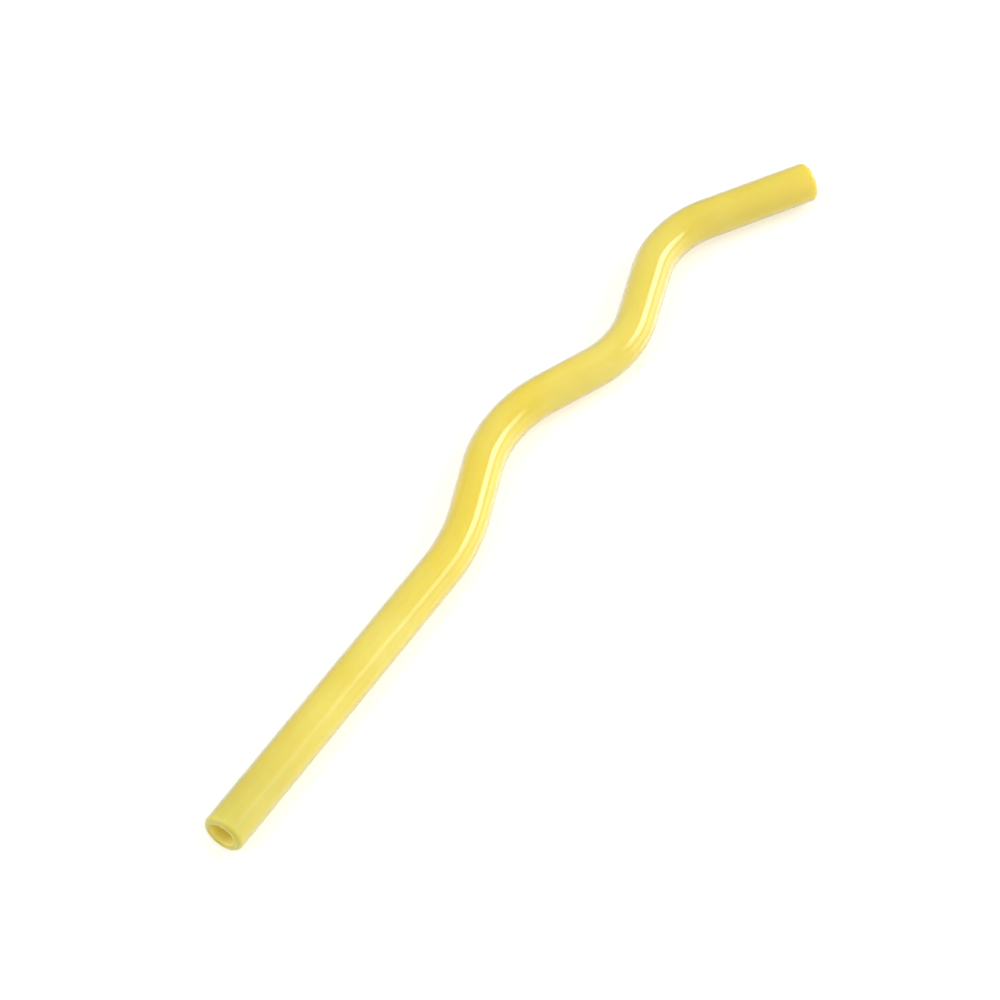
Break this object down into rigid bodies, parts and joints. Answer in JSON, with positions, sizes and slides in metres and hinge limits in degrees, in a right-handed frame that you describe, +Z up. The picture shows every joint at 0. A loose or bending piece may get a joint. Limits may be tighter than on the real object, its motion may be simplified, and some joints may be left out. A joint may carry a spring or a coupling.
{
  "type": "wavy glass straw",
  "caption": "Reusable drinking straw of milky yellow glass tube, with a long straight leg, a flat wave, an angled drinking end and rounded rims.",
  "frame": {"origin": "middle of the straw's outline seen from above, on the surface that it lies on", "axes": "+X along the straight leg, from its mouth towards the drinking end; +Z up, square to the plane that the bends lie in"},
  "size_m": [0.1938, 0.024, 0.008],
  "materials": {
    "glass": "gloss"
  },
  "bodies": {
    "root": {"straw": "glass"}
  },
  "joints": []
}
